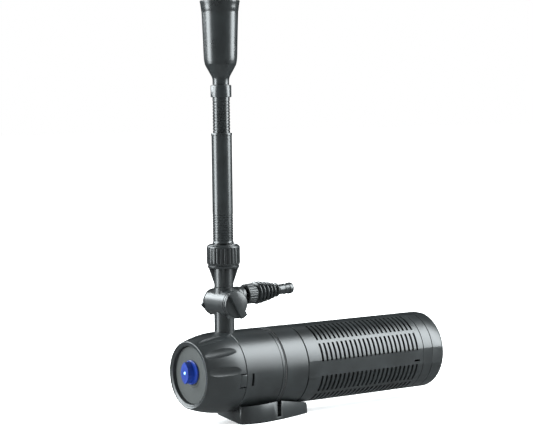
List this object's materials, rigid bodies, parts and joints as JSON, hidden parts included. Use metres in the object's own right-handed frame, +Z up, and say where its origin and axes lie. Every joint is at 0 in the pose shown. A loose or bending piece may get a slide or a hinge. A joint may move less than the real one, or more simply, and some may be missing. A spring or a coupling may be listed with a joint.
{
  "type": "fountain submersible pump",
  "caption": "Horizontal submersible pond pump with slotted filter cage, diverter valve, stepped hose tail, ball-jointed telescopic riser and bell nozzle.",
  "frame": {"origin": "centre of the underside of the foot", "axes": "+X along the body from the blue knob to the filter end, +Z up along the riser"},
  "size_m": [0.3356, 0.104, 0.455],
  "materials": {
    "charcoal": "satin moulded charcoal plastic",
    "near_black": "plain black moulded plastic",
    "disc_grey": "fine matt grey plastic",
    "blue": "bright blue gloss plastic",
    "pale_blue": "pale blue translucent plastic",
    "rubber": "black rubber",
    "ceramic": "white ceramic",
    "magnet": "dark ferrite",
    "steel": "plain steel",
    "copper": "enamelled copper winding",
    "resin": "black potting resin",
    "glass": "clear quartz",
    "lamp_white": "white glass lamp tube",
    "board_green": "green circuit board",
    "foam": "coarse open-cell black foam"
  },
  "bodies": {
    "housing": {"motor_housing": "charcoal", "cable_gland": "near_black", "gland_seal": "rubber", "gland_nut": "near_black", "pump_chamber": "near_black", "impeller_cover": "near_black", "chamber_seal": "rubber", "front_bush": "rubber", "rear_bush": "rubber", "motor_can": "near_black", "can_ring": "rubber", "stator_core": "steel", "coil_front": "copper", "coil_rear": "copper", "potting_plug": "resin", "filter_bulkhead": "near_black", "lamp_holder": "near_black", "ballast_board": "board_green", "sleeve_seal": "rubber", "quartz_sleeve": "glass", "uv_lamp": "lamp_white", "joint_gasket": "rubber", "core_tube": "near_black", "foot_base": "charcoal", "foot_screw_front": "steel", "foot_screw_rear": "steel", "valve_body": "charcoal", "valve_far_cap": "charcoal", "hose_seal": "rubber", "ball_cup": "charcoal", "cup_seal": "rubber", "filter_foam": "foam"},
    "cap": {"front_cap": "charcoal", "face_disc": "disc_grey", "knob_o_ring": "rubber"},
    "latch": {"cap_latch": "charcoal"},
    "flow_control": {"flow_knob": "blue", "knob_eye": "pale_blue", "flow_shutter": "near_black"},
    "rotor": {"impeller": "near_black", "rotor_magnet": "magnet", "rotor_shaft": "ceramic"},
    "cage": {"filter_cage": "charcoal", "rear_ring": "charcoal"},
    "end_cap": {"rear_cap": "charcoal"},
    "diverter": {"valve_knob": "charcoal", "valve_spool": "near_black", "valve_seal": "rubber"},
    "hose_union": {"hose_nut": "charcoal"},
    "hose_tail": {"hose_adapter": "charcoal"},
    "clamp_nut": {"ball_nut": "charcoal"},
    "swivel": {"ball_seal_ring": "rubber"},
    "riser": {"joint_ball": "charcoal", "riser_outer": "charcoal"},
    "extension": {"riser_inner": "charcoal"},
    "nozzle": {"nozzle_collar": "charcoal", "bell_nozzle": "charcoal", "jet_tube": "near_black"}
  },
  "joints": [
    {"name": "cap_pull", "type": "slide", "parent": "housing", "child": "cap", "axis": [-1, 0, 0], "range_m": [0, 0.06]},
    {"name": "latch_press", "type": "hinge", "parent": "cap", "child": "latch", "pos_m": [-0.0579, -0.0435, 0.0487], "axis": [0, 0, 1], "range_deg": [0, 5], "stiffness_Nm_per_rad": 0.05},
    {"name": "flow_turn", "type": "hinge", "parent": "cap", "child": "flow_control", "pos_m": [-0.093, 0, 0.057], "axis": [1, 0, 0], "range_deg": [-90, 90]},
    {"name": "rotor_spin", "type": "hinge", "parent": "housing", "child": "rotor", "pos_m": [-0.048, 0, 0.054], "axis": [1, 0, 0], "continuous": true},
    {"name": "cage_pull", "type": "slide", "parent": "housing", "child": "cage", "axis": [1, 0, 0], "range_m": [0, 0.2]},
    {"name": "end_cap_turn", "type": "hinge", "parent": "cage", "child": "end_cap", "pos_m": [0.222, 0, 0.054], "axis": [1, 0, 0], "range_deg": [0, 30]},
    {"name": "diverter_turn", "type": "hinge", "parent": "housing", "child": "diverter", "pos_m": [-0.048, 0, 0.129], "axis": [0, -1, 0], "range_deg": [-90, 90]},
    {"name": "hose_nut_turn", "type": "hinge", "parent": "housing", "child": "hose_union", "pos_m": [-0.048, 0, 0.1349], "axis": [0.999, 0, 0.0436], "continuous": true},
    {"name": "hose_tail_turn", "type": "hinge", "parent": "housing", "child": "hose_tail", "pos_m": [-0.048, 0, 0.1349], "axis": [0.999, 0, 0.0436], "continuous": true},
    {"name": "clamp_nut_turn", "type": "hinge", "parent": "housing", "child": "clamp_nut", "pos_m": [-0.048, 0, 0.179], "axis": [0, 0, 1], "range_deg": [0, 90]},
    {"name": "riser_swivel", "type": "hinge", "parent": "housing", "child": "swivel", "pos_m": [-0.048, 0, 0.176], "axis": [0, 0, 1], "continuous": true},
    {"name": "riser_tilt", "type": "hinge", "parent": "swivel", "child": "riser", "pos_m": [-0.048, 0, 0.176], "axis": [1, 0, 0], "range_deg": [-7, 7]},
    {"name": "riser_extend", "type": "slide", "parent": "riser", "child": "extension", "axis": [0, 0, 1], "range_m": [-0.036, 0.05]},
    {"name": "nozzle_turn", "type": "hinge", "parent": "extension", "child": "nozzle", "pos_m": [-0.048, 0, 0.359], "axis": [0, 0, 1], "continuous": true}
  ]
}
